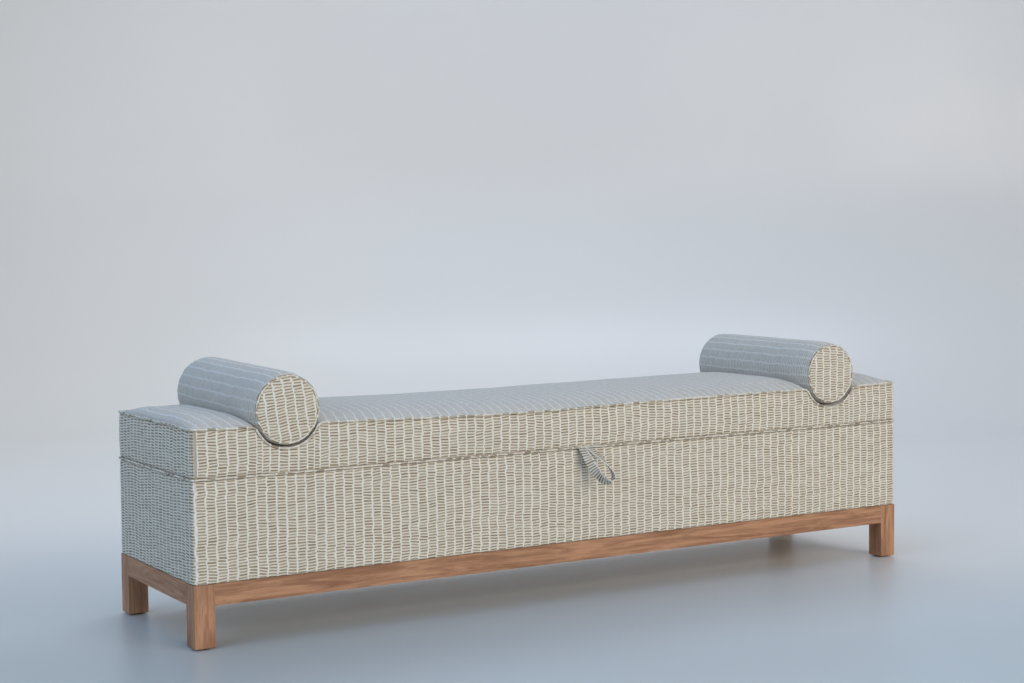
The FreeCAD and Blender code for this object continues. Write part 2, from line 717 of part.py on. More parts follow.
def pull_loop():
    """Strap sewn flat under the lid's bottom piping, with its two ends side by side; it hangs out and down,
    and half a twist between the ends turns the left leg broadside and the right leg on edge."""
    level = S.lid_bottom + S.loop_cloth / 2 + 0.05
    front = -S.half_y - 0.3
    clear = front - 2 * S.piping_radius - 2
    out = Vector(0.235, -0.670, -0.702).normalize()
    across = Vector(0.725, -0.39, 0.567).normalize()
    ways = [(0, Vector(1, 0, 0)), (0.25, Vector(0.23, -0.85, 0.48)), (0.45, Vector(0.05, -0.90, 0.43)),
            (0.6, Vector(-0.35, -0.90, 0.25)), (0.8, Vector(-0.51, -0.84, 0.15)), (1, Vector(-1, 0, 0))]

    def width_way(share):
        """Direction of the strap's width, turned evenly between the stated places."""
        for (start, first), (end, second) in zip(ways, ways[1:]):
            if share <= end:
                part = (share - start) / (end - start)
                return (first * (1 - part) + second * part).normalize()
        return ways[-1][1]

    apart = S.loop_root / 2 + 0.3
    steps = 16
    centres = []
    for order in range(steps + 1):
        share = order / steps
        reach = S.loop_reach * math.sin(math.pi * share) ** 0.9
        spread = S.loop_spread * math.sin(2 * math.pi * share)
        root = Vector(apart * (2 * share - 1), clear, level)
        centres.append(root + out * reach - across * spread)
    root_in = Vector(0, -1, 0)
    sections = [(Vector(-apart, front, level), root_in, ways[0][1], S.loop_root),
                (centres[0], root_in, ways[0][1], S.loop_root)]
    for order in range(1, steps):
        along = (centres[order + 1] - centres[order - 1]).normalize()
        sections.append((centres[order], along, width_way(order / steps), S.loop_width))
    sections += [(centres[-1], root_in * -1, ways[-1][1], S.loop_root),
                 (Vector(apart, front, level), root_in * -1, ways[-1][1], S.loop_root)]
    rows = []
    for centre, along, way, width in sections:
        thick = along.cross(way).normalize() * (S.loop_cloth / 2)
        half = thick.cross(along).normalize() * (width / 2)
        rows.append([centre + half + thick, centre - half + thick, centre - half - thick,
                     centre + half - thick])
    return feature("pull_loop", faceted(rows))


def lid():
    room = S.piping_radius + 0.1
    trim = slab(S.half_x - room, S.half_y - room, S.corner_radius - room, S.board_top, 2 * S.seam)
    feature("lid_foam", lofted(foam_section).common(trim))
    feature("lid_cover_top", lofted(cover_section).common(trim))
    boxing()
    sides = list(SIDES.values())
    piping("lid_piping_top", [long_seam(end) for end in ENDS.values()],
           [end_seam(side, 0, S.corner_radius, S.seam) for side in sides])
    low = S.board_bottom + S.piping_radius + 0.2
    reach = S.piping_radius
    turn = S.corner_radius + reach
    x = S.half_x + reach - turn
    straight = []
    for end in ENDS.values():
        y = end * (S.half_y + reach)
        straight.append([Part.makeLine(Vector(-x, y, low), Vector(x, y, low))])
    piping("lid_piping_bottom", straight, [end_seam(side, reach, turn, low) for side in sides])
    board = slab(S.half_x - S.cover, S.half_y - S.cover, S.corner_radius - S.cover, S.board_bottom,
                 S.board_top)
    feature("lid_board", board.cut(hinge_lid_leaves.Shape))
    cloth = slab(S.half_x, S.half_y, S.corner_radius, S.lid_bottom, S.board_bottom)
    feature("lid_underside_cloth", cloth.cut(hinge_lid_leaves.Shape))
    pull_loop()


lid()


# Bolsters, made about their own centre with the axis along Y, then laid into the scoops

def turned(points):
    """Solid of revolution about Y from a closed outline in the XY plane."""
    return Part.Face(Part.makePolygon(points + points[:1])).revolve(Vector(), Vector(0, 1, 0), 360)


def barrel_side(radius, end):
    """Barrel outline from end to end: full in the middle and drawn in at the piping."""
    draw = 2 * S.bolster_taper
    low = radius - S.bolster_taper
    return [Vector(low, -end, 0), Vector(radius, draw - end, 0), Vector(radius, end - draw, 0),
            Vector(low, end, 0)]


def cord_ring(radius, y):
    """Ring of piping with a four-sided section."""
    corners = []
    for order in range(4):
        angle = math.radians(90 * order)
        out = S.piping_radius * math.cos(angle)
        along = S.piping_radius * math.sin(angle)
        corners.append(Vector(radius + out, y + along, 0))
    return turned(corners)


def end_disc(radius, low, end):
    """Padded end disc with a flat back and a face that falls to the piping."""
    face = low + end * (S.cover + S.bolster_dome)
    return turned([Vector(0, low, 0), Vector(radius, low, 0), Vector(radius - S.bolster_dome, face, 0),
                   Vector(0, face, 0)])


def bolster(side_name):
    place = Placement(Vector(SIDES[side_name] * S.bolster_x, 0, S.bolster_z), Rotation())
    cord = S.piping_radius
    ring_y = S.half_y - cord
    barrel_end = ring_y - cord - 0.1
    outer = barrel_side(S.bolster_radius, barrel_end)
    inner_radius = S.bolster_radius - S.bolster_taper - S.cover
    tube = turned(outer + [Vector(inner_radius, barrel_end, 0), Vector(inner_radius, -barrel_end, 0)])
    feature(f"bolster_{side_name}_cover", tube, place)
    core = Part.makeCylinder(inner_radius - S.foam_gap, 2 * barrel_end, Vector(0, -barrel_end, 0),
                             Vector(0, 1, 0))
    feature(f"bolster_{side_name}_filling", core, place)
    ring_radius = S.bolster_radius - S.bolster_taper - cord
    disc = ring_radius - cord - 0.1
    low = barrel_end + 0.3
    discs = [end_disc(disc, end * low, end) for end in ENDS.values()]
    feature(f"bolster_{side_name}_ends", Part.makeCompound(discs), place)
    rings = [cord_ring(ring_radius, end * ring_y) for end in ENDS.values()]
    feature(f"bolster_{side_name}_piping", Part.makeCompound(rings), place)


for bolster_side in SIDES:
    bolster(bolster_side)

doc.recompute()


# Checks and export

for thing in doc.Objects:
    if any(word in thing.State for word in ("Invalid", "Error")):
        raise ValueError(f"{thing.Label} failed: {thing.State}")
os.makedirs("parts", exist_ok=True)
names = [thing.Label for thing in PIECES]
if len(names) != len(set(names)):
    raise ValueError("two pieces share a name")
for thing in PIECES:
    shape = thing.Shape
    if shape.isNull() or not shape.isValid() or not shape.Solids:
        raise ValueError(f"{thing.Label} has no valid solid")
    shape.exportStep(f"parts/{thing.Label}.step")
print(f"{len(PIECES)} pieces, strut {strut.shut:.2f} mm shut and {strut.open:.2f} mm open")
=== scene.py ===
import math

import bpy
from mathutils import Matrix, Vector, noise


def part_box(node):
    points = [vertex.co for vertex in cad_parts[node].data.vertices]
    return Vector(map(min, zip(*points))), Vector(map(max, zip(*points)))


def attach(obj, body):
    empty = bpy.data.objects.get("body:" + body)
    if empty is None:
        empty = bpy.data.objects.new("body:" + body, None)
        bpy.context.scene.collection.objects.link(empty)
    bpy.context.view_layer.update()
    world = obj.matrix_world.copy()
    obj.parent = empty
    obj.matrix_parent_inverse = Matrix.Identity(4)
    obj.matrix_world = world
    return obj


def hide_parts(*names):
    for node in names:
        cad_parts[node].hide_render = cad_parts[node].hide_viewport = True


# Storage bench with a padded lid, two loose bolsters and a timber base.
# Metres, front towards -Y, floor at Z = 0.

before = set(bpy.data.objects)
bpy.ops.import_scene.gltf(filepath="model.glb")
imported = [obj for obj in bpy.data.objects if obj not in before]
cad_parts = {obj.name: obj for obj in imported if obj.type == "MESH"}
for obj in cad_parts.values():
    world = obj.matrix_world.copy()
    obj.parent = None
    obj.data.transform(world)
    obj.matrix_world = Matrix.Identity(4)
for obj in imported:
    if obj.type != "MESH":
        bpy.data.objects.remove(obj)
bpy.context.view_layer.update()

SIDES = {"left": -1, "right": 1}
ENDS = {"front": -1, "rear": 1}

# Sizes of the box and the lid, read from the frame where it has them
BOX_LOW, BOX_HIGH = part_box("box_cover")
HALF_X = BOX_HIGH.x
HALF_Y = BOX_HIGH.y
BORDER_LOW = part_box("lid_boxing_front")[0].z
CORNER = 0.008      # radius of the upright corners
CLOTH = 0.002       # cloth with its wadding
END_RUN = 0.060     # length over which the crown falls to the end seams

# Piping: cord radii, levels of both rows, and how far the top row lies inside the bench's outline
PIPING = 0.0025
LOW_PIPING = 0.0023
CORD_SIDES = 14
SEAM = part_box("lid_piping_top")[1].z - PIPING
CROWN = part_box("lid_cover_top")[1].z - SEAM - 0.002
LOW_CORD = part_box("lid_piping_bottom")[0].z - 0.0008
SEAM_INSET = 0.0012

# Bolsters: their place and size in the frame, then how the photographed ones lie in their recesses
BARREL_LOW, BARREL_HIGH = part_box("bolster_right_cover")
BOLSTER = Vector(((BARREL_LOW.x + BARREL_HIGH.x) / 2, 0, (BARREL_LOW.z + BARREL_HIGH.z) / 2))
BARREL = (BARREL_HIGH.x - BARREL_LOW.x) / 2
RING_LOW, RING_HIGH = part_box("bolster_right_piping")
RING_Y = RING_HIGH.y - PIPING
RING = (RING_HIGH.x - RING_LOW.x) / 2 - PIPING
RINGS = {"front": RING - 0.0010, "rear": RING + 0.0018}
SLIDE = {-1: 0.003, 1: 0.0}                 # to the right
LIFT = {-1: 0.0071, 1: 0.0035}              # upwards
RECLINE = {-1: 0.0152, 1: 0.0020}           # rise per metre towards the rear
CLOTH_TURN = {-1: math.radians(8), 1: 0.0}  # turn of the pattern on the end cloths
TALL = 1.02                                 # stretch of the upper half
AROUND = 120                                # points round the roll

# Recesses of the lid: radii of scoop and shoulders at its middle and at its seam, and the seam's own shift
SCOOP_MID = BARREL + 0.0006
SCOOP_SEAM = BARREL + 0.0055
SHOULDER_MID = 0.030
SHOULDER_SEAM = 0.017
SEAM_SHIFT = {-1: Vector((-0.002, 0, 0.001)), 1: Vector((-0.002, 0, -0.0025))}

# Pull strap
STRAP_APART = 0.0098   # half the distance between its sewn ends
STRAP_REACH = 0.102    # from the seam to the loop's tip
STRAP_SPREAD = 0.011   # how far each leg bows out
STRAP_WIDTH = 0.022
STRAP_ROOT = 0.019     # width where it is sewn in
STRAP_CLOTH = 0.0025
STRAP_FULLNESS = 1.35  # of the middle against its edges

# Linings: the corner radius inside the box, and the closed middle of a flat cloth
INNER_CORNER = 0.004
TIP = 0.0004

# The cloth's weave
COLUMN = 0.0222       # from line to line
DASH_PITCH = 0.00625  # from dash to dash
DRIFT = 0.0055        # slow wander of a line
STEP = 0.0026         # its jump from dash to dash
WARP_PITCH = 0.0011
WEFT_PITCH = 0.0009

# Studio: the way that the camera faces on the floor, and the way to its right
FACING = Vector((0.5129, 0.8585, 0))
ASIDE = Vector((0.8585, -0.5129, 0))


def lerp(start, end, share):
    return start + (end - start) * share


def steps(count):
    """Shares from 0 to 1 in equal steps, both ends included."""
    return [index / count for index in range(count + 1)]


def spoke(angle):
    """Unit vector in the upright plane across a bolster."""
    return Vector((math.cos(angle), 0, math.sin(angle)))


def ripple(point, size, depth, seed=0.0):
    """Smooth unevenness of cloth over its filling."""
    return depth * noise.noise(point / size + Vector((seed, 1.7 * seed, 0.3)))


# Mesh building

def lengths(points, closed=True):
    """Length along a path up to each of its points."""
    run = [0.0]
    for first, second in zip(points, points[1:] + (points[:1] if closed else [])):
        run.append(run[-1] + (second - first).length)
    return run


def skin(name, rows, weave, material, loop_rows=False, loop_columns=False):
    """Mesh through rows of points; weave gives the place of each grid corner on the cloth, in metres."""
    count, width = len(rows), len(rows[0])
    faces, corners = [], []
    for row in range(count if loop_rows else count - 1):
        for column in range(width if loop_columns else width - 1):
            quad = ((row, column), (row, column + 1), (row + 1, column + 1), (row + 1, column))
            faces.append([(a % count) * width + b % width for a, b in quad])
            corners += [weave(a, b) for a, b in quad]
    mesh = bpy.data.meshes.new(name)
    mesh.from_pydata([tuple(point) for row in rows for point in row], [], faces)
    layer = mesh.uv_layers.new(name="weave")
    for loop, place in zip(layer.data, corners):
        loop.uv = place
    mesh.polygons.foreach_set("use_smooth", [True] * len(mesh.polygons))
    mesh.materials.append(material)
    mesh.update()
    piece = bpy.data.objects.new(name, mesh)
    bpy.context.scene.collection.objects.link(piece)
    return piece


def thicken(piece, depth=CLOTH):
    """Gives an open skin the thickness of its cloth and wadding, inwards."""
    modifier = piece.modifiers.new("thickness", "SOLIDIFY")
    modifier.thickness = depth
    modifier.offset = -1
    modifier.use_quality_normals = True


def soft(piece, body, nodes):
    """Hides the CAD nodes that a padded piece replaces and makes the piece move with its body."""
    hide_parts(*nodes)
    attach(piece, body)


def tube(name, path, radius, across=Vector((0, 0, 1)), turn=0.0):
    """Round cloth covered cord along a closed path, with the cloth's dashes lying along it."""
    count = len(path)
    rows = []
    for index, point in enumerate(path):
        way = (path[(index + 1) % count] - path[index - 1]).normalized()
        side = way.cross(across).normalized()
        lift = side.cross(way).normalized()
        ring = []
        for order in range(CORD_SIDES):
            angle = math.tau * order / CORD_SIDES + turn
            ring.append(point + radius * (math.cos(angle) * side + math.sin(angle) * lift))
        rows.append(ring)
    run = lengths(path)

    def weave(row, order):
        return (run[row], math.tau * radius * order / CORD_SIDES)
    return skin(name, rows, weave, COVER, loop_rows=True, loop_columns=True)


# Materials

def shade(color, share):
    return tuple(share * part for part in color)


class Nodes:
    """Short way to build a material's node tree."""

    def __init__(self, name):
        self.material = bpy.data.materials.new(name)
        self.material.use_nodes = True
        self.tree = self.material.node_tree
        self.shader = self.tree.nodes["Principled BSDF"]

    def add(self, kind, **settings):
        node = self.tree.nodes.new(kind)
        for key, value in settings.items():
            setattr(node, key, value)
        return node

    def feed(self, socket, value):
        """Links a socket's value, or sets a plain one."""
        if isinstance(value, bpy.types.NodeSocket):
            self.tree.links.new(value, socket)
        else:
            socket.default_value = value

    def math(self, operation, *values):
        node = self.add("ShaderNodeMath", operation=operation)
        for socket, value in zip(node.inputs, values):
            self.feed(socket, value)
        return node.outputs[0]

    def plus(self, first, second):
        return self.math("ADD", first, second)

    def minus(self, first, second):
        return self.math("SUBTRACT", first, second)

    def times(self, first, second):
        return self.math("MULTIPLY", first, second)

    def size_of(self, value):
        return self.math("ABSOLUTE", value)

    def place(self):
        """Place on the piece, in metres."""
        return self.add("ShaderNodeTexCoord").outputs["Object"]

    def split(self, vector):
        node = self.add("ShaderNodeSeparateXYZ")
        self.feed(node.inputs[0], vector)
        return node.outputs

    def ramp(self, value, low, high, start=0.0, end=1.0):
        """Smooth step of a value from low to high."""
        node = self.add("ShaderNodeMapRange", interpolation_type="SMOOTHSTEP")
        for socket, number in zip(node.inputs, (value, low, high, start, end)):
            self.feed(socket, number)
        return node.outputs[0]

    def noise(self, vector, scale, detail=2.0, roughness=0.5):
        node = self.add("ShaderNodeTexNoise")
        self.feed(node.inputs["Vector"], vector)
        node.inputs["Scale"].default_value = scale
        node.inputs["Detail"].default_value = detail
        node.inputs["Roughness"].default_value = roughness
        return node.outputs["Fac"]

    def pair(self, x, y):
        """Flat vector from two values."""
        node = self.add("ShaderNodeCombineXYZ")
        self.feed(node.inputs[0], x)
        self.feed(node.inputs[1], y)
        return node.outputs[0]

    def random(self, x, y):
        """Fixed random value for a pair of numbers."""
        node = self.add("ShaderNodeTexWhiteNoise", noise_dimensions="2D")
        self.feed(node.inputs["Vector"], self.pair(x, y))
        return node.outputs["Value"]

    def mix(self, share, first, second):
        node = self.add("ShaderNodeMix", data_type="RGBA")
        self.feed(node.inputs[0], share)
        for socket, value in ((node.inputs[6], first), (node.inputs[7], second)):
            if isinstance(value, tuple):
                socket.default_value = (*value, 1.0)
            else:
                self.feed(socket, value)
        return node.outputs[2]

    def bump(self, height, distance, strength, under=None):
        node = self.add("ShaderNodeBump")
        node.inputs["Strength"].default_value = strength
        node.inputs["Distance"].default_value = distance
        self.feed(node.inputs["Height"], height)
        if under is not None:
            self.feed(node.inputs["Normal"], under)
        return node.outputs[0]

    def finish(self, color, roughness, normal=None, **constants):
        """Feeds the shader; constants are named after its sockets."""
        self.feed(self.shader.inputs["Base Color"], color)
        self.feed(self.shader.inputs["Roughness"], roughness)
        if normal is not None:
            self.feed(self.shader.inputs["Normal"], normal)
        for key, value in constants.items():
            self.shader.inputs[key.replace("_", " ")].default_value = value
        return self.material


def woven(name, ground, dash, line, line_edge=0.450, line_share=1.0, dash_share=1.0):
    """Coarse cloth: pale wandering lines, and thin dashes that lie across the columns between them."""
    n = Nodes(name)
    u, v = n.split(n.add("ShaderNodeUVMap", uv_map="weave").outputs[0])[:2]
    # Painted shade: on faces that look sideways, the bench's ends, the dashes are darker and the lines fainter
    facing = n.split(n.add("ShaderNodeNewGeometry").outputs["Normal"])
    painted_end_shade = n.ramp(n.size_of(facing[0]), 0.55, 0.9)

    # Columns between wandering lines; across runs from 0 to 1 over a column
    drift = n.noise(n.pair(n.times(u, 3.0), n.times(v, 22.0)), 1.0, 1.0)
    step = n.random(n.math("FLOOR", n.math("DIVIDE", v, DASH_PITCH)), 9.1)
    wander = n.plus(n.times(n.minus(drift, 0.5), DRIFT), n.times(n.minus(step, 0.5), STEP))
    columns = n.math("DIVIDE", n.plus(u, wander), COLUMN)
    column = n.math("FLOOR", columns)
    across = n.math("FRACT", columns)
    edge = n.size_of(n.minus(across, 0.5))
    lines = n.ramp(edge, line_edge, line_edge + 0.014)

    # Dashes: each column has its own stagger and slant, each dash its own length, width and strength
    stagger = n.random(column, 3.7)
    rows = n.plus(n.math("DIVIDE", v, DASH_PITCH), n.times(stagger, 7.0))
    bend = n.noise(n.pair(n.times(column, 5.3), n.times(v, 30.0)), 1.0, 1.0)
    slant = n.times(n.minus(bend, 0.5), 2.6)
    tilted = n.plus(rows, n.times(slant, n.minus(across, 0.5)))
    row = n.math("FLOOR", tilted)
    height = n.size_of(n.minus(n.math("FRACT", tilted), 0.5))
    reach = n.times(n.random(column, row), 0.09)
    inside = n.ramp(edge, n.minus(0.465, reach), n.minus(0.425, reach))
    wide = n.plus(n.times(n.random(row, column), 0.08), 0.20)
    thickness = n.ramp(height, n.plus(wide, 0.07), n.minus(wide, 0.05))
    strength = n.plus(0.70, n.times(n.random(column, n.plus(row, 0.5)), 0.30))
    dashes = n.times(n.times(inside, thickness), strength)

    # Threads, flecks and slubs of the yarn
    warp = n.size_of(n.math("SINE", n.times(u, math.pi / WARP_PITCH)))
    weft = n.size_of(n.math("SINE", n.times(v, math.pi / WEFT_PITCH)))
    thread = n.times(warp, weft)
    fleck = n.noise(n.pair(n.times(u, 700.0), n.times(v, 700.0)), 1.0, 2.0)
    slub = n.noise(n.pair(n.times(u, 90.0), n.times(v, 520.0)), 1.0, 2.0)
    cloud = n.noise(n.pair(n.times(u, 5.0), n.times(v, 5.0)), 1.0, 2.0)

    base = n.mix(n.ramp(slub, 0.35, 0.7), ground, shade(ground, 0.82))
    tint = n.times(dashes, n.ramp(fleck, 0.15, 0.55, 0.55 * dash_share, dash_share))
    # Dashes darken with the yarn's slubs and, as painted shade, on the end faces; the lines fade there too
    base = n.mix(tint, base, n.mix(n.math("MAXIMUM", slub, painted_end_shade), dash, shade(dash, 0.5)))
    shown = n.minus(line_share, n.times(painted_end_shade, 0.45))
    base = n.mix(n.times(lines, shown), base, line)
    base = n.mix(n.times(n.ramp(fleck, 0.45, 0.75), 0.22), base, shade(ground, 0.6))
    base = n.mix(n.times(cloud, 0.12), base, shade(ground, 0.8))
    relief = n.plus(n.times(lines, 0.45), n.times(n.minus(1.0, dashes), 0.45))
    normal = n.bump(thread, 0.00025, 0.5, n.bump(relief, 0.0010, 0.8))
    rough = n.plus(0.80, n.times(thread, 0.15))
    return n.finish(base, rough, normal, Sheen_Weight=0.15, Sheen_Roughness=0.3, Specular_IOR_Level=0.2)


def plain_cloth(name, color):
    """Thin plain cloth of fine threads."""
    n = Nodes(name)
    place = n.place()
    waves = [n.math("SINE", n.times(part, math.tau / 0.0016)) for part in n.split(place)]
    thread = n.size_of(n.times(n.plus(waves[0], waves[2]), n.plus(waves[1], 0.4)))
    cloud = n.noise(place, 9.0, 3.0)
    base = n.mix(n.times(thread, 0.25), color, shade(color, 1.7))
    base = n.mix(n.times(cloud, 0.3), base, shade(color, 0.6))
    return n.finish(base, n.plus(0.82, n.times(cloud, 0.12)), n.bump(thread, 0.0003, 0.5),
                    Sheen_Weight=0.1, Specular_IOR_Level=0.2)


def timber(name, along, pale, deep):
    """Open grained hardwood; along is the axis that the grain follows."""
    n = Nodes(name)
    place = n.place()

    def stretched(cross, lengthwise, detail, rough, swirl=0.0):
        mapping = n.add("ShaderNodeMapping")
        n.feed(mapping.inputs[0], place)
        scale = [cross, cross, cross]
        scale["XYZ".index(along)] = lengthwise
        mapping.inputs["Scale"].default_value = scale
        grain = n.noise(mapping.outputs[0], 1.0, detail, rough)
        grain.node.inputs["Distortion"].default_value = swirl
        return grain
    growth = n.ramp(stretched(52.0, 5.0, 4.0, 0.62, 1.4), 0.34, 0.68)
    streak = n.ramp(stretched(260.0, 9.0, 3.0, 0.6), 0.35, 0.75)
    pores = n.ramp(stretched(1100.0, 45.0, 2.0, 0.6), 0.58, 0.74)
    cloud = n.noise(place, 9.0, 3.0)
    base = n.mix(growth, pale, deep)
    base = n.mix(n.times(streak, 0.45), base, deep)
    base = n.mix(n.times(cloud, 0.4), base, shade(pale, 0.85))
    base = n.mix(n.times(pores, 0.5), base, shade(deep, 0.5))
    soft_edge = n.add("ShaderNodeBevel", samples=4)
    soft_edge.inputs["Radius"].default_value = 0.0013
    relief = n.minus(n.times(growth, 0.25), pores)
    normal = n.bump(relief, 0.0002, 0.6, soft_edge.outputs[0])
    rough = n.plus(0.50, n.times(pores, 0.3))
    return n.finish(base, rough, normal, Specular_IOR_Level=0.35)


def sheet_board(name, color):
    """Raw pressed board, with a speckle of chips."""
    n = Nodes(name)
    place = n.place()
    chips = n.noise(place, 210.0, 3.0, 0.7)
    cloud = n.noise(place, 6.0, 2.0)
    base = n.mix(n.ramp(chips, 0.35, 0.7), color, shade(color, 0.62))
    base = n.mix(n.times(cloud, 0.25), base, shade(color, 0.8))
    return n.finish(base, n.plus(0.68, n.times(chips, 0.2)), n.bump(chips, 0.0003, 0.4))


def metal(name, color, roughness, scratch=0.08, metallic=1.0):
    """Plated or painted metal with faint rubbing marks."""
    n = Nodes(name)
    place = n.place()
    brushed = n.add("ShaderNodeMapping")
    n.feed(brushed.inputs[0], place)
    brushed.inputs["Scale"].default_value = (60.0, 900.0, 900.0)
    lines = n.noise(brushed.outputs[0], 1.0, 3.0, 0.6)
    cloud = n.noise(place, 35.0, 3.0)
    base = n.mix(n.times(cloud, 0.3), color, shade(color, 0.75))
    rough = n.plus(roughness, n.times(lines, scratch))
    return n.finish(base, rough, n.bump(lines, 0.00005, 0.4), Metallic=metallic)


def moulded(name, color, roughness=0.6):
    """Moulded plastic or rubber with a fine grain."""
    n = Nodes(name)
    place = n.place()
    grain = n.noise(place, 700.0, 2.0)
    cloud = n.noise(place, 25.0, 2.0)
    base = n.mix(n.times(cloud, 0.4), color, shade(color, 1.6))
    return n.finish(base, n.plus(roughness, n.times(grain, 0.15)), n.bump(grain, 0.0001, 0.4))


COVER = woven("cover_cloth", (0.765, 0.715, 0.605), (0.29, 0.196, 0.092), (0.78, 0.79, 0.80))
# Painted light: a copy of the cover cloth with a darker ground and fainter lines and dashes, for the lid's top
# and the bolster rolls, standing in for how grazing light washes out the weave on upward faces
TOP_WEAVE_PAINTED_LIGHT = woven("top_cloth_painted_light", (0.675, 0.635, 0.57), (0.31, 0.225, 0.155), (0.78, 0.79, 0.80),
                    line_edge=0.460, line_share=0.75, dash_share=0.5)
# Painted shade: a darker copy of the cover cloth for the pull strap, which hangs in shade under the lid
STRAP_WEAVE_PAINTED_SHADE = woven("strap_cloth_painted_shade", (0.70, 0.65, 0.56), (0.14, 0.10, 0.06), (0.76, 0.74, 0.70))
LINING = plain_cloth("lining_cloth", (0.035, 0.035, 0.038))
OAK_PALE = (0.51, 0.27, 0.150)
OAK_DEEP = (0.225, 0.098, 0.050)
OAK = {axis: timber(f"oak_{axis.lower()}", axis, OAK_PALE, OAK_DEEP) for axis in "XYZ"}
BOARD = sheet_board("pressed_board", (0.42, 0.30, 0.18))
ZINC = metal("zinc_plate", (0.60, 0.60, 0.58), 0.32)
STRUT_BLACK = metal("strut_paint", (0.02, 0.02, 0.022), 0.35, 0.1, 0.0)
CHROME = metal("rod_chrome", (0.75, 0.75, 0.76), 0.10, 0.05)
PLASTIC = moulded("glide_plastic", (0.035, 0.028, 0.024))
RUBBER = moulded("bumper_rubber", (0.02, 0.02, 0.02), 0.75)


def dress(material, *names):
    """Gives CAD nodes their material."""
    for name in names:
        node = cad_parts[name]
        node.data.materials.clear()
        node.data.materials.append(material)


dress(OAK["Z"], *[f"leg_{end}_{side}" for end in ENDS for side in SIDES])
dress(OAK["X"], "base_rail_front", "base_rail_rear")
dress(OAK["Y"], "base_rail_left", "base_rail_right", "base_cross_rail_left", "base_cross_rail_right")
dress(BOARD, "box_floor", "lid_board", *[f"box_panel_{word}" for word in (*ENDS, *SIDES)])
dress(PLASTIC, "leg_glides")
dress(RUBBER, "lid_bumpers")
dress(ZINC, "hinge_box_leaves", "hinge_lid_leaves", "strut_box_brackets", "strut_lid_brackets")
for side_name in SIDES:
    dress(STRUT_BLACK, f"strut_cylinder_{side_name}")
    dress(CHROME, f"strut_rod_{side_name}")


# Lid seam: the line of the top piping, wavy as sewn cloth is, with a dip at each bolster

def bell(x, middle, width):
    return math.exp(-((x - middle) / width) ** 2)


def seam_wave(x):
    """How far the seam stands off its level: a sag left of the middle, higher beyond the left recess."""
    sag = 0.0062 * bell(x, -0.13, 0.30)
    corners = 0.0025 * bell(x, HALF_X, 0.06) + 0.0028 * bell(x, -HALF_X, 0.055)
    left_end = 0.0045 / (1 + math.exp((x + 0.52) / 0.05))
    return 0.0012 - sag + corners + left_end


def bolster_axis(side, y):
    """Middle of a bolster at one depth; both lie a little higher at their rear."""
    return Vector((side * BOLSTER.x + SLIDE[side], 0, BOLSTER.z + LIFT[side] + RECLINE[side] * y))


def scoop_points(side, top, scoop, shoulder, y):
    """Points of one recess from left to right: shoulder, scoop and shoulder, as three arcs that touch."""
    centre = bolster_axis(side, y) + SEAM_SHIFT[side] * abs(y / HALF_Y) ** 12
    drop = top - shoulder - centre.z
    spread = math.sqrt((scoop + shoulder) ** 2 - drop ** 2)
    hubs = [centre + Vector((way * spread, 0, drop)) for way in (-1, 1)]
    lean = math.atan2(spread, -drop)
    shoulder_angles = [math.pi / 2 - lean * share for share in steps(7)]
    scoop_angles = [lerp(-lean, lean, share) - math.pi / 2 for share in steps(26)[1:-1]]
    left = [hubs[0] + shoulder * spoke(angle) for angle in shoulder_angles]
    bottom = [centre + scoop * spoke(angle) for angle in scoop_angles]
    right = [hubs[1] + shoulder * spoke(math.pi - angle) for angle in reversed(shoulder_angles)]
    return left + bottom + right


def lid_line(share):
    """Points across the lid's top from left to right at one share of its half depth; 1 is the seam."""
    rise = CROWN * (1 - abs(share) ** 4)
    top = SEAM + rise
    scoop = lerp(SCOOP_MID, SCOOP_SEAM, abs(share) ** 12)
    shoulder = lerp(SHOULDER_MID, SHOULDER_SEAM, share ** 4)
    left = scoop_points(-1, top, scoop, shoulder, share * HALF_Y)
    right = scoop_points(1, top, scoop, shoulder, share * HALF_Y)
    end = Vector((HALF_X - 0.0015, 0, top))
    start = Vector((-end.x, 0, top))
    points = [start.lerp(left[0], part) for part in steps(12)[:-1]] + left
    points += [left[-1].lerp(right[0], part) for part in steps(64)[1:-1]] + right
    points += [right[-1].lerp(end, part) for part in steps(12)[1:]]
    for point in points:
        near_end = max(0.0, 1 - (HALF_X - abs(point.x)) / END_RUN)
        point.z -= rise * near_end ** 2.5
        in_scoop = max(0.0, min(1.0, (top - point.z) / 0.03 - near_end))
        follow = lerp(0.45 + 0.55 * share ** 2, 1.0, near_end)
        point.z += seam_wave(point.x) * (1 - in_scoop) * follow
    return points


def seat_top():
    """Crowned top cover of the lid, dipping under each bolster."""
    shares = [math.sin(math.pi / 2 * lerp(-1, 1, part)) for part in steps(34)]
    rows = []
    for share in shares:
        y = share * (HALF_Y - SEAM_INSET)
        row = []
        for point in lid_line(share):
            place = Vector((point.x, y, point.z))
            calm = 1 - share ** 6
            clear = min(1.0, abs(abs(point.x) - BOLSTER.x) / 0.12) ** 2
            place.z += calm * clear * (ripple(place, 0.11, 0.0016) + ripple(place, 0.03, 0.0004, 4.0))
            row.append(place)
        rows.append(row)
    run = lengths(rows[len(rows) // 2], closed=False)
    piece = skin("seat_top", rows, lambda row, column: (run[column], rows[row][0].y), TOP_WEAVE_PAINTED_LIGHT)
    thicken(piece)
    soft(piece, "lid", ["lid_cover_top", "lid_foam"])


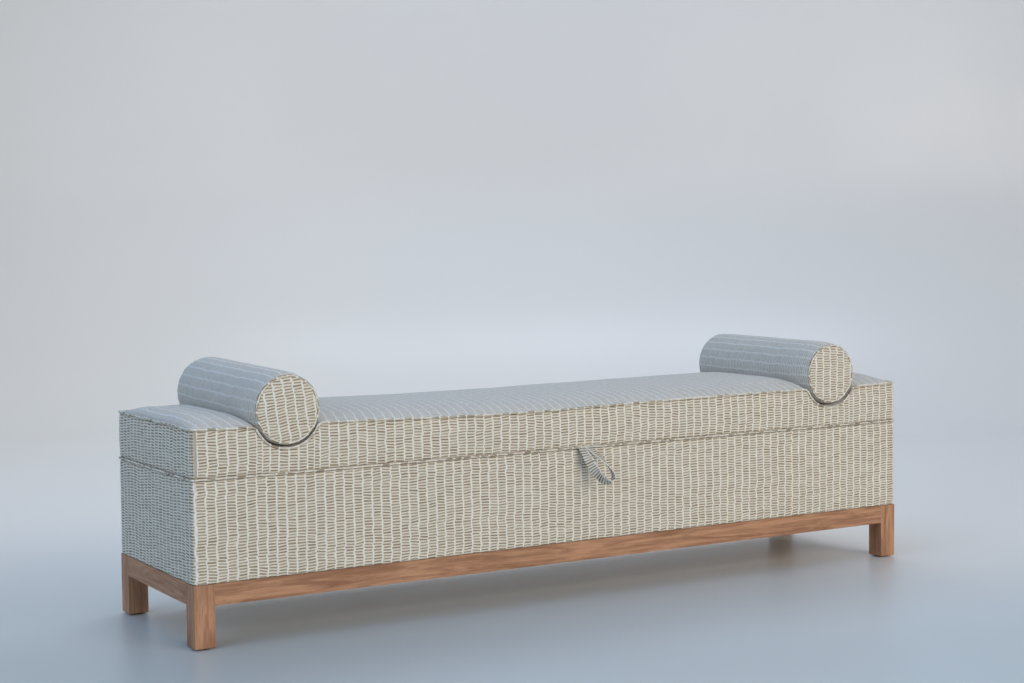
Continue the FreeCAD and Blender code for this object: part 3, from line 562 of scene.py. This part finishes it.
def ring_walk(grow=0.0, front_xs=None, rear_xs=None):
    """Stations round the bench's plan from the front left corner: place and outward way."""
    x_flat = HALF_X - CORNER
    y_flat = HALF_Y - CORNER
    even_xs = [lerp(-x_flat, x_flat, part) for part in steps(96)]
    ys = [lerp(-y_flat, y_flat, part) for part in steps(24)]
    stations = [(Vector((x, -HALF_Y - grow, 0)), Vector((0, -1, 0))) for x in front_xs or even_xs]

    def turn(x_sign, y_sign, start):
        hub = Vector((x_sign * x_flat, y_sign * y_flat, 0))
        for part in steps(6)[1:-1]:
            angle = start + part * math.pi / 2
            way = Vector((math.cos(angle), math.sin(angle), 0))
            stations.append((hub + (CORNER + grow) * way, way))
    turn(1, -1, -math.pi / 2)
    stations += [(Vector((HALF_X + grow, y, 0)), Vector((1, 0, 0))) for y in ys]
    turn(1, 1, 0)
    stations += [(Vector((x, HALF_Y + grow, 0)), Vector((0, 1, 0))) for x in reversed(rear_xs or even_xs)]
    turn(-1, 1, math.pi / 2)
    stations += [(Vector((-HALF_X - grow, y, 0)), Vector((-1, 0, 0))) for y in reversed(ys)]
    turn(-1, -1, math.pi)
    return stations


def box_upholstery():
    """Cloth and thin wadding round the box, turned in over its top edge."""
    stations = ring_walk()
    run = lengths([place for place, way in stations])
    low, high = BOX_LOW.z + 0.0004, BOX_HIGH.z
    turned_in = 0.022
    profile = [(0.0035, low), (0.0012, low + 0.0006), (0.0003, low + 0.003)]
    profile += [(0.0, lerp(low + 0.008, high - 0.008, part)) for part in steps(14)]
    profile += [(0.0004, high - 0.004), (0.0015, high - 0.0012), (0.004, high)]
    profile += [(turned_in - 0.0002, high), (turned_in, high - 0.0015)]
    rows, drops = [], [0.0]
    for inset, z in profile:
        row = []
        for place, way in stations:
            point = place - inset * way + Vector((0, 0, z))
            if 0.003 < z - low and inset < 0.002:
                fade = min(1.0, (z - low) / 0.03) * min(1.0, (high - z) / 0.02)
                point += way * fade * (ripple(point, 0.13, 0.0011, 2.0) + ripple(point, 0.035, 0.0003, 7.0))
            row.append(point)
        rows.append(row)
    for first, second in zip(profile, profile[1:]):
        drops.append(drops[-1] + math.dist(first, second))

    def weave(row, column):
        return (run[column], drops[row])
    piece = skin("box_upholstery", rows, weave, COVER, loop_columns=True)
    thicken(piece, 0.0012)
    soft(piece, "box", ["box_cover"])


def seam_loop():
    """Closed path of the lid's top seam, as places and outward ways."""
    fronts = [point for point in lid_line(-1.0) if abs(point.x) < HALF_X - CORNER]
    rears = [point for point in lid_line(1.0) if abs(point.x) < HALF_X - CORNER]
    heights = {(-1, round(point.x, 6)): point.z for point in fronts}
    heights.update({(1, round(point.x, 6)): point.z for point in rears})
    path = []
    for place, way in ring_walk(front_xs=[point.x for point in fronts], rear_xs=[point.x for point in rears]):
        on_flat = round(way.y) if abs(way.y) > 0.99 else 0
        height = heights.get((on_flat, round(place.x, 6)), SEAM + seam_wave(place.x))
        path.append((Vector((place.x, place.y, height)) - SEAM_INSET * way, way))
    return path


def seat_borders():
    """Side strips of the lid between its two rows of piping, one for each side."""
    path = seam_loop()
    run = lengths([place for place, way in path])
    count = len(path)
    sides = {"front": Vector((0, -1, 0)), "right": Vector((1, 0, 0)), "rear": Vector((0, 1, 0)),
             "left": Vector((-1, 0, 0))}
    for word, outward in sides.items():
        indices = [index for index, (place, way) in enumerate(path) if way.dot(outward) > 0.7]
        if word == "front":
            # The path starts at the front left corner, whose last stations lie at its end
            late = [index for index in indices if index > count / 2]
            indices = late + [index for index in indices if index <= count / 2]
        indices.append(indices[-1] + 1)
        rows = []
        for share in steps(10):
            row = []
            for index in indices:
                top, way = path[index % count]
                z = lerp(BORDER_LOW - 0.001, top.z - 0.001, share)
                point = Vector((top.x, top.y, z))
                puff = math.sin(math.pi * share) * min(1.0, (top.z - BORDER_LOW) / 0.09)
                inset = SEAM_INSET * (2 * share - 1) ** 8
                point += way * (puff * (0.0012 + ripple(point, 0.09, 0.0012, 5.0)) - inset)
                row.append(point)
            rows.append(row)

        def weave(row, column, rows=rows, indices=indices):
            laps, index = divmod(indices[column], count)
            return (run[index] + laps * run[count], rows[row][column].z)
        piece = skin(f"seat_border_{word}", rows, weave, COVER)
        thicken(piece)
        soft(piece, "lid", [f"lid_boxing_{word}"])


def seat_piping():
    """Self covered cord round the lid's top seam and round its lower edge."""
    top = [place + 0.0004 * way for place, way in seam_loop()]
    piece = tube("piping_seat_top", top, PIPING)
    soft(piece, "lid", ["lid_piping_top"])
    low = []
    for place, way in ring_walk(grow=0.0006):
        wave = ripple(place, 0.25, 0.0007, 9.0)
        # The pull strap's ends lift the cord and push it out a little
        at_strap = math.exp(-(place.x / 0.022) ** 4) if way.y < -0.9 else 0.0
        height = LOW_CORD + wave + 0.0026 * at_strap
        low.append(place + 0.0006 * at_strap * way + Vector((0, 0, height)))
    piece = tube("piping_seat_bottom", low, LOW_PIPING, turn=0.6)
    soft(piece, "lid", ["lid_piping_bottom"])


def raised(way):
    """Way from a bolster's axis, stretched a little where it points up: the recess presses in its sides."""
    return Vector((way.x, way.y, way.z * (TALL if way.z > 0 else 1.0)))


def bolster_barrel(side):
    """Rows of points round the roll, drawn in towards its piping at both ends."""
    stretch = RING_Y - 0.002
    rows = []
    for share in steps(44):
        y = math.sin(math.pi / 2 * lerp(-1, 1, share)) * stretch
        from_end = stretch - abs(y)
        draw = (BARREL - RINGS["front" if y < 0 else "rear"] - PIPING) * math.exp(-(from_end / 0.020) ** 2)
        row = []
        for order in range(AROUND):
            way = spoke(math.tau * order / AROUND)
            gather = noise.noise(Vector((9 * way.x, 9 * way.z, 5.0 * side + 3 * (y > 0))))
            pucker = 0.0014 * gather * math.exp(-from_end / 0.028)
            wave = noise.noise(Vector((2.2 * way.x, y / 0.09, 2.2 * way.z + side)))
            radius = BARREL - 0.0006 - draw + pucker + 0.0009 * wave
            if way.z < -0.1:
                radius = min(radius, BARREL - 0.0004)
            row.append(bolster_axis(side, y) + Vector((0, y, 0)) + radius * raised(way))
        rows.append(row)
    return rows


def bolster_disc(side, end, rim, centre):
    """Rows of points from the middle of an end cloth to its rim, domed and gathered at the piping."""
    rows = []
    for share in steps(22):
        row = []
        for order in range(AROUND):
            way = spoke(-end * math.tau * order / AROUND)
            gather = noise.noise(Vector((7 * way.x, 7 * way.z, 11.0 * side + end)))
            pucker = 0.0010 * gather * math.exp(-(1 - share) * rim / 0.016) * share
            dent = noise.noise(Vector((30 * share * way.x, 2, 30 * share * way.z)))
            dome = 0.0035 * (1 - share ** 4) + 0.0006 * dent
            y = end * (RING_Y - 0.0012 + dome + pucker)
            row.append(centre + Vector((0, y, 0)) + max(share, 0.004) * rim * raised(way))
        rows.append(row)
    return rows


def bolster(side_name):
    """Roll with a cloth disc and a ring of piping at each end."""
    side = SIDES[side_name]
    body = f"bolster_{side_name}"
    barrel = bolster_barrel(side)

    def weave_barrel(row, order):
        return (BARREL * math.tau * order / AROUND + 0.004, barrel[row][0].y)
    piece = skin(f"{body}_barrel", barrel, weave_barrel, TOP_WEAVE_PAINTED_LIGHT, loop_columns=True)
    thicken(piece)
    soft(piece, body, [f"{body}_cover", f"{body}_filling"])
    cosine, sine = math.cos(CLOTH_TURN[side]), math.sin(CLOTH_TURN[side])
    for end_name, end in ENDS.items():
        centre = bolster_axis(side, end * RING_Y)
        rows = bolster_disc(side, end, RINGS[end_name] - PIPING + 0.0012, centre)

        def weave_disc(row, order, rows=rows, centre=centre):
            spot = rows[row][order % AROUND] - centre
            return (spot.x * cosine + spot.z * sine + 0.0045, spot.z * cosine - spot.x * sine)
        disc = skin(f"{body}_disc_{end_name}", rows, weave_disc, COVER, loop_columns=True)
        thicken(disc)
        soft(disc, body, [f"{body}_ends"])
        middle = centre + Vector((0, end * (RING_Y + 0.0002), 0))
        ring = [middle + RINGS[end_name] * raised(spoke(math.tau * order / 96)) for order in range(96)]
        cord = tube(f"{body}_cord_{end_name}", ring, PIPING, across=Vector((0, 1, 0)))
        soft(cord, body, [f"{body}_piping"])


def strap_ring():
    """Section of the strap as shares of half its width and half its thickness, fuller away from its edges."""
    xs = (0.985, 0.9, 0.5, 0, -0.5, -0.9, -0.985)
    corners = [(-1, -0.5), *[(-x, -1) for x in xs], (1, -0.5), (1, 0.5), *[(x, 1) for x in xs], (-1, 0.5)]
    return [(x, z * (1.0 if abs(x) > 0.88 else STRAP_FULLNESS)) for x, z in corners]


def pull_strap():
    """Strap sewn under the lid's front edge; half a twist turns one leg broadside and the other on edge."""
    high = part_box("pull_loop")[1]
    level = high.z - 0.0009
    front = high.y
    out = Vector((0.235, -0.670, -0.702)).normalized()
    across = Vector((0.725, -0.39, 0.567)).normalized()
    # Way of the strap's width at shares of its length
    ways = [(0, Vector((1, 0, 0))), (0.25, Vector((0.23, -0.85, 0.48))), (0.45, Vector((0.05, -0.90, 0.43))),
            (0.6, Vector((-0.10, -0.90, 0.42))), (0.8, Vector((-0.51, -0.84, 0.15))), (1, Vector((-1, 0, 0)))]

    def width_way(share):
        for (start, first), (end, second) in zip(ways, ways[1:]):
            if share <= end:
                return first.lerp(second, (share - start) / (end - start)).normalized()
        return ways[-1][1]
    count = 48
    centres = []
    for share in steps(count):
        reach = STRAP_REACH * math.sin(math.pi * share) ** 0.9
        spread = STRAP_SPREAD * math.sin(math.tau * share)
        root = Vector((STRAP_APART * (2 * share - 1), front - 0.007, level))
        centres.append(root + out * reach - across * spread)
    rows, middles = [], []

    def section(centre, along, way, width):
        thick = along.cross(way).normalized()
        side = thick.cross(along).normalized()
        rows.append([centre + side * (x * width / 2) + thick * (z * STRAP_CLOTH / 2) for x, z in strap_ring()])
        middles.append(centre)
    inwards = Vector((0, 1, 0))
    for y in (front, front - 0.005):
        section(Vector((-STRAP_APART, y, level)), -inwards, ways[0][1], STRAP_ROOT)
    for index in range(2, count - 1):
        along = (centres[index + 1] - centres[index - 1]).normalized()
        blend = min(1.0, (index - 1) / 4, (count - 1 - index) / 4)
        blend = blend * blend * (3 - 2 * blend)
        section(centres[index], along, width_way(index / count), lerp(STRAP_ROOT, STRAP_WIDTH, blend))
    for y in (front - 0.005, front):
        section(Vector((STRAP_APART, y, level)), inwards, ways[-1][1], STRAP_ROOT)
    run = lengths(middles, closed=False)
    # Place of each corner of the section on the cloth: its edges lie on the weave's lines
    round_it = [0.0, 0.0003, 0.002, 0.006, 0.0105, 0.015, 0.019, 0.0207, 0.021, 0.0213, 0.0216, 0.023, 0.027,
                0.0315, 0.036, 0.040, 0.0417, 0.042, 0.0423]

    def weave(row, order):
        return (round_it[order] - 0.0003, run[row])
    piece = skin("pull_strap", rows, weave, STRAP_WEAVE_PAINTED_SHADE, loop_columns=True)
    soft(piece, "lid", ["pull_loop"])


def rounded_loop(x, y, corner, z):
    """Closed row of points round a rectangle with rounded corners, given as half sizes."""
    row = []
    for x_sign, y_sign, start in ((1, -1, -90), (1, 1, 0), (-1, 1, 90), (-1, -1, 180)):
        hub = Vector((x_sign * (x - corner), y_sign * (y - corner), z))
        for part in steps(4):
            angle = math.radians(start + 90 * part)
            row.append(hub + corner * Vector((math.cos(angle), math.sin(angle), 0)))
    return row


def no_weave(row, order):
    """Plain cloth takes its threads from its place, not from the weave's layer."""
    return (0.0, 0.0)


def linings():
    """Plain cloth inside the box, open at its top, and under the lid."""
    low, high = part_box("box_lining")
    x, y = high.x - 0.0012, high.y - 0.0012
    floor = low.z + 0.0012
    rows = [rounded_loop(TIP, TIP, TIP / 2, floor), rounded_loop(x - 0.003, y - 0.003, INNER_CORNER, floor),
            rounded_loop(x, y, INNER_CORNER, floor + 0.003)]
    for part in steps(8):
        rows.append(rounded_loop(x, y, INNER_CORNER, lerp(floor + 0.006, high.z - 0.0006, part)))
    piece = skin("box_lining_cloth", rows, no_weave, LINING, loop_columns=True)
    thicken(piece, 0.0009)
    soft(piece, "box", ["box_lining"])
    low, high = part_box("lid_underside_cloth")
    bottom, top = low.z + 0.0001, high.z - 0.0001
    levels = ((0.003, bottom), (0.0004, low.z + 0.0006), (0.0004, high.z - 0.0004), (0.003, top))
    rows = [rounded_loop(TIP, TIP, TIP / 2, bottom)]
    rows += [rounded_loop(high.x - edge, high.y - edge, CORNER - edge, z) for edge, z in levels]
    rows.append(rounded_loop(TIP, TIP, TIP / 2, top))
    piece = skin("lid_underside_lining", rows, no_weave, LINING, loop_columns=True)
    soft(piece, "lid", ["lid_underside_cloth"])


seat_top()
box_upholstery()
seat_borders()
seat_piping()
for bolster_side in SIDES:
    bolster(bolster_side)
pull_strap()
linings()


# Studio: a floor that sweeps up into a wall, soft light and the camera

def see_through(material):
    """Opens the sweep to a view from behind it; its front stays solid."""
    tree = material.node_tree
    output = next(node for node in tree.nodes if node.type == "OUTPUT_MATERIAL")
    solid = output.inputs[0].links[0].from_socket
    back = tree.nodes.new("ShaderNodeNewGeometry").outputs["Backfacing"]
    mix = tree.nodes.new("ShaderNodeMixShader")
    tree.links.new(back, mix.inputs[0])
    tree.links.new(solid, mix.inputs[1])
    tree.links.new(tree.nodes.new("ShaderNodeBsdfTransparent").outputs[0], mix.inputs[2])
    tree.links.new(mix.outputs[0], output.inputs[0])


def backdrop():
    """Grey blue floor and a paler wall, joined by a sweep. Light across it is painted in: the floor pales into
    the wall's tone towards the back, and both tones shift from left to right.
    """
    n = Nodes("studio_sweep")
    place = n.add("ShaderNodeNewGeometry").outputs["Position"]
    x, y = n.split(place)[:2]
    away = n.plus(n.times(x, FACING.x), n.times(y, FACING.y))
    aside = n.plus(n.times(x, ASIDE.x), n.times(y, ASIDE.y))
    # Painted light: the floor pales towards the back and both tones shift from left to right
    pale = n.ramp(away, -0.9, 1.05)
    right = n.ramp(aside, -2.4, 1.8)
    floor_tone = n.mix(right, (0.455, 0.475, 0.46), (0.455, 0.52, 0.565))
    wall_tone = n.mix(right, (0.98, 0.885, 0.785), (0.83, 0.79, 0.755))
    mottle = n.noise(place, 1.3, 4.0)
    tone = n.mix(n.times(mottle, 0.08), n.mix(pale, floor_tone, wall_tone), (0.42, 0.45, 0.48))
    rough = n.plus(0.28, n.times(mottle, 0.15))
    material = n.finish(tone, rough, None, Specular_IOR_Level=0.5)
    see_through(material)
    bend, bend_start, near, top, reach = 1.2, 3.0, -9.0, 9.0, 14.0
    profile = [(near, 0.0), (2.2, 0.0), (bend_start, 0.0)]
    for share in steps(16)[1:]:
        angle = math.pi / 2 * share
        profile.append((bend_start + bend * math.sin(angle), bend - bend * math.cos(angle)))
    profile.append((bend_start + bend, top))
    rows = [[FACING * run + ASIDE * side + Vector((0, 0, height)) for side in (-reach, 0.0, reach)]
            for run, height in profile]
    sweep = skin("studio_sweep", rows, lambda row, column: (float(row), float(column)), material)


def lamp(name, place, target, size, power, color):
    """Soft rectangular lamp that faces its target; power in watts."""
    data = bpy.data.lights.new(name, "AREA")
    data.shape = "RECTANGLE"
    data.size, data.size_y = size
    data.energy = power
    data.color = color
    light = bpy.data.objects.new(name, data)
    light.location = place
    light.rotation_euler = (Vector(target) - Vector(place)).to_track_quat("-Z", "Y").to_euler()
    bpy.context.scene.collection.objects.link(light)


def studio():
    """Weak blue surrounding light, a warm lamp at the front and cool ones at the left, behind and above."""
    world = bpy.data.worlds.new("studio_world")
    world.use_nodes = True
    background = world.node_tree.nodes["Background"]
    background.inputs[0].default_value = (0.63, 0.80, 1.0, 1.0)
    background.inputs[1].default_value = 0.352
    bpy.context.scene.world = world
    lamp("front_lamp", (0.9, -5.2, 2.0), (0.1, 0, 0.3), (4.2, 2.4), 188, (1.0, 0.91, 0.79))
    lamp("left_lamp", (-4.5, -1.5, 2.0), (0, 0, 0.3), (3.0, 2.4), 68, (0.64, 0.79, 1.0))
    lamp("back_lamp", (2.2, 3.2, 3.9), (0, 0, 0.4), (4.0, 2.4), 98, (0.76, 0.88, 1.0))
    lamp("top_lamp", (-1.0, 0.6, 3.4), (0, 0, 0.3), (4.5, 3.2), 40, (0.30, 0.55, 1.0))


def camera():
    """Camera solved from the photograph's straight edges; angles in radians, lens in millimetres."""
    pitch, roll, heading = -0.0661354, -0.00976444, 0.53845191
    place = Vector((-2.25266, -3.677245, 0.868874))
    ahead = Vector((math.sin(heading) * math.cos(pitch), math.cos(heading) * math.cos(pitch), math.sin(pitch)))
    level = Vector((math.cos(heading), -math.sin(heading), 0))
    upright = level.cross(ahead)
    right = math.cos(roll) * level + math.sin(roll) * upright
    up = -math.sin(roll) * level + math.cos(roll) * upright
    data = bpy.data.cameras.new("photo_camera")
    data.lens = 63.481
    data.sensor_width = 36.0
    data.clip_end = 60.0
    view = bpy.data.objects.new("photo_camera", data)
    turn = Matrix((right, up, -ahead)).transposed().to_4x4()
    view.matrix_world = Matrix.Translation(place) @ turn
    bpy.context.scene.collection.objects.link(view)
    bpy.context.scene.camera = view


backdrop()
studio()
camera()
bpy.context.scene.view_settings.view_transform = "Standard"
